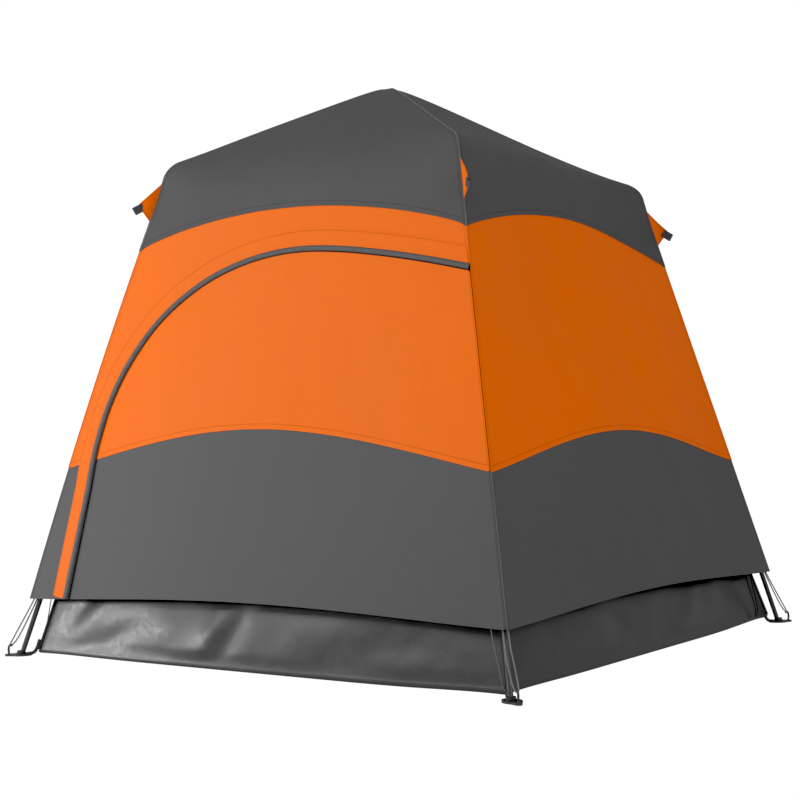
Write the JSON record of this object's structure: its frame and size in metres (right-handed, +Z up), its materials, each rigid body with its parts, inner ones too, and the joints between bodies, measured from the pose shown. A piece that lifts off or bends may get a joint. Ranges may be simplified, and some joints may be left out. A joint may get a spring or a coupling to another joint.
{
  "type": "pop up tent",
  "caption": "Square pop-up cabin tent with a hub-and-leg folding frame, inner tent, waterproof floor and a rain fly with a zipped door.",
  "frame": {"origin": "centre of the floor on the ground, at the bottom centre of the bounding box", "axes": "+Z up; the door and its zip face -Y; +X to the right seen from outside the door"},
  "size_m": [1.9968, 1.9968, 1.9341],
  "materials": {
    "grey_cloth": "matte",
    "orange_cloth": "matte",
    "floor_cloth": "satin",
    "inner_cloth": "matte",
    "mesh_cloth": "matte",
    "webbing": "matte",
    "elastic_cord": "matte",
    "dark_steel": "satin",
    "black_plastic": "matte",
    "orange_plastic": "gloss"
  },
  "bodies": {
    "tent": {"floor_tub": "floor_cloth", "fly_roof_front": "grey_cloth", "fly_roof_right": "grey_cloth", "fly_roof_back": "grey_cloth", "fly_roof_left": "grey_cloth", "fly_band_front": "orange_cloth", "fly_band_right": "orange_cloth", "fly_band_back": "orange_cloth", "fly_band_left": "orange_cloth", "fly_skirt_front": "grey_cloth", "fly_skirt_right": "grey_cloth", "fly_skirt_back": "grey_cloth", "fly_skirt_left": "grey_cloth", "zip_tape": "webbing", "inner_wall_front": "inner_cloth", "inner_wall_right": "inner_cloth", "inner_wall_back": "inner_cloth", "inner_wall_left": "inner_cloth", "inner_roof": "mesh_cloth", "corner_strap_front_right": "webbing", "corner_strap_back_right": "webbing", "corner_strap_back_left": "webbing", "corner_strap_front_left": "webbing", "shock_cord_front_right": "elastic_cord", "shock_cord_back_right": "elastic_cord", "shock_cord_back_left": "elastic_cord", "shock_cord_front_left": "elastic_cord", "guy_tab_front_right": "orange_cloth", "guy_tab_back_right": "orange_cloth", "guy_tab_back_left": "orange_cloth", "guy_tab_front_left": "orange_cloth"},
    "hub": {"hub": "black_plastic"},
    "arm_front_right": {"roof_pole_front_right": "dark_steel", "shoulder_joint_front_right": "black_plastic"},
    "leg_front_right": {"upper_leg_front_right": "dark_steel", "leg_lock_front_right": "black_plastic"},
    "button_front_right": {"lock_button_front_right": "orange_plastic"},
    "lower_front_right": {"lower_leg_front_right": "dark_steel"},
    "arm_back_right": {"roof_pole_back_right": "dark_steel", "shoulder_joint_back_right": "black_plastic"},
    "leg_back_right": {"upper_leg_back_right": "dark_steel", "leg_lock_back_right": "black_plastic"},
    "button_back_right": {"lock_button_back_right": "orange_plastic"},
    "lower_back_right": {"lower_leg_back_right": "dark_steel"},
    "arm_back_left": {"roof_pole_back_left": "dark_steel", "shoulder_joint_back_left": "black_plastic"},
    "leg_back_left": {"upper_leg_back_left": "dark_steel", "leg_lock_back_left": "black_plastic"},
    "button_back_left": {"lock_button_back_left": "orange_plastic"},
    "lower_back_left": {"lower_leg_back_left": "dark_steel"},
    "arm_front_left": {"roof_pole_front_left": "dark_steel", "shoulder_joint_front_left": "black_plastic"},
    "leg_front_left": {"upper_leg_front_left": "dark_steel", "leg_lock_front_left": "black_plastic"},
    "button_front_left": {"lock_button_front_left": "orange_plastic"},
    "lower_front_left": {"lower_leg_front_left": "dark_steel"},
    "fly_door": {"fly_door_band": "orange_cloth", "fly_door_skirt": "grey_cloth"},
    "inner_door": {"inner_door": "inner_cloth"},
    "zip_slider": {"zip_slider": "black_plastic"}
  },
  "joints": [
    {"name": "collapse", "type": "slide", "parent": "tent", "child": "hub", "axis": [0, 0, -1], "range_m": [0, 1.705], "deforming": ["floor_tub", "fly_roof_front", "fly_roof_right", "fly_roof_back", "fly_roof_left", "fly_band_front", "fly_band_right", "fly_band_back", "fly_band_left", "fly_skirt_front", "fly_skirt_right", "fly_skirt_back", "fly_skirt_left", "zip_tape", "inner_wall_front", "inner_wall_right", "inner_wall_back", "inner_wall_left", "inner_roof", "corner_strap_front_right", "corner_strap_back_right", "corner_strap_back_left", "corner_strap_front_left", "shock_cord_front_right", "shock_cord_back_right", "shock_cord_back_left", "shock_cord_front_left", "guy_tab_front_right", "guy_tab_back_right", "guy_tab_back_left", "guy_tab_front_left", "fly_door_band", "fly_door_skirt", "inner_door"]},
    {"name": "arm_fold_front_right", "type": "hinge", "parent": "hub", "child": "arm_front_right", "pos_m": [0.03182, -0.03182, 1.845], "axis": [-0.7071, -0.7071, 0], "range_deg": [0, 17.93]},
    {"name": "leg_fold_front_right", "type": "hinge", "parent": "arm_front_right", "child": "leg_front_right", "pos_m": [0.56993, -0.56993, 1.584], "axis": [-0.7071, -0.7071, 0], "range_deg": [0, 50.05]},
    {"name": "leg_telescope_front_right", "type": "slide", "parent": "leg_front_right", "child": "lower_front_right", "axis": [-0.2304, 0.2304, 0.9454], "range_m": [0, 0.76]},
    {"name": "lock_press_front_right", "type": "slide", "parent": "leg_front_right", "child": "button_front_right", "axis": [0.6685, -0.6685, 0.3259], "range_m": [0, 0.0025], "stiffness_N_per_m": 400, "springref_m": -0.002},
    {"name": "arm_fold_back_right", "type": "hinge", "parent": "hub", "child": "arm_back_right", "pos_m": [0.03182, 0.03182, 1.845], "axis": [0.7071, -0.7071, 0], "range_deg": [0, 17.93]},
    {"name": "leg_fold_back_right", "type": "hinge", "parent": "arm_back_right", "child": "leg_back_right", "pos_m": [0.56993, 0.56993, 1.584], "axis": [0.7071, -0.7071, 0], "range_deg": [0, 50.05]},
    {"name": "leg_telescope_back_right", "type": "slide", "parent": "leg_back_right", "child": "lower_back_right", "axis": [-0.2304, -0.2304, 0.9454], "range_m": [0, 0.76]},
    {"name": "lock_press_back_right", "type": "slide", "parent": "leg_back_right", "child": "button_back_right", "axis": [0.6685, 0.6685, 0.3259], "range_m": [0, 0.0025], "stiffness_N_per_m": 400, "springref_m": -0.002},
    {"name": "arm_fold_back_left", "type": "hinge", "parent": "hub", "child": "arm_back_left", "pos_m": [-0.03182, 0.03182, 1.845], "axis": [0.7071, 0.7071, 0], "range_deg": [0, 17.93]},
    {"name": "leg_fold_back_left", "type": "hinge", "parent": "arm_back_left", "child": "leg_back_left", "pos_m": [-0.56993, 0.56993, 1.584], "axis": [0.7071, 0.7071, 0], "range_deg": [0, 50.05]},
    {"name": "leg_telescope_back_left", "type": "slide", "parent": "leg_back_left", "child": "lower_back_left", "axis": [0.2304, -0.2304, 0.9454], "range_m": [0, 0.76]},
    {"name": "lock_press_back_left", "type": "slide", "parent": "leg_back_left", "child": "button_back_left", "axis": [-0.6685, 0.6685, 0.3259], "range_m": [0, 0.0025], "stiffness_N_per_m": 400, "springref_m": -0.002},
    {"name": "arm_fold_front_left", "type": "hinge", "parent": "hub", "child": "arm_front_left", "pos_m": [-0.03182, -0.03182, 1.845], "axis": [-0.7071, 0.7071, 0], "range_deg": [0, 17.93]},
    {"name": "leg_fold_front_left", "type": "hinge", "parent": "arm_front_left", "child": "leg_front_left", "pos_m": [-0.56993, -0.56993, 1.584], "axis": [-0.7071, 0.7071, 0], "range_deg": [0, 50.05]},
    {"name": "leg_telescope_front_left", "type": "slide", "parent": "leg_front_left", "child": "lower_front_left", "axis": [0.2304, 0.2304, 0.9454], "range_m": [0, 0.76]},
    {"name": "lock_press_front_left", "type": "slide", "parent": "leg_front_left", "child": "button_front_left", "axis": [-0.6685, -0.6685, 0.3259], "range_m": [0, 0.0025], "stiffness_N_per_m": 400, "springref_m": -0.002},
    {"name": "fly_door_swing", "type": "hinge", "parent": "tent", "child": "fly_door", "pos_m": [0.81044, -0.81044, 0.7], "axis": [-0.2292, 0.2292, 0.946], "range_deg": [0, 150]},
    {"name": "inner_door_swing", "type": "hinge", "parent": "tent", "child": "inner_door", "pos_m": [0.4, -0.75043, 0.7], "axis": [0, -0.2354, -0.9719], "range_deg": [0, 100]},
    {"name": "zip_slide", "type": "slide", "parent": "tent", "child": "zip_slider", "axis": [0.0827, 0.2346, 0.9686], "range_m": [0, 0.33]}
  ],
  "couplings": [
    {"joint": "arm_fold_front_right", "follows": "collapse", "rad_per_m": 0.18354},
    {"joint": "leg_fold_front_right", "follows": "collapse", "rad_per_m": 0.51234},
    {"joint": "leg_telescope_front_right", "follows": "collapse", "ratio": 0.44575},
    {"joint": "arm_fold_back_right", "follows": "collapse", "rad_per_m": 0.18354},
    {"joint": "leg_fold_back_right", "follows": "collapse", "rad_per_m": 0.51234},
    {"joint": "leg_telescope_back_right", "follows": "collapse", "ratio": 0.44575},
    {"joint": "arm_fold_back_left", "follows": "collapse", "rad_per_m": 0.18354},
    {"joint": "leg_fold_back_left", "follows": "collapse", "rad_per_m": 0.51234},
    {"joint": "leg_telescope_back_left", "follows": "collapse", "ratio": 0.44575},
    {"joint": "arm_fold_front_left", "follows": "collapse", "rad_per_m": 0.18354},
    {"joint": "leg_fold_front_left", "follows": "collapse", "rad_per_m": 0.51234},
    {"joint": "leg_telescope_front_left", "follows": "collapse", "ratio": 0.44575}
  ]
}
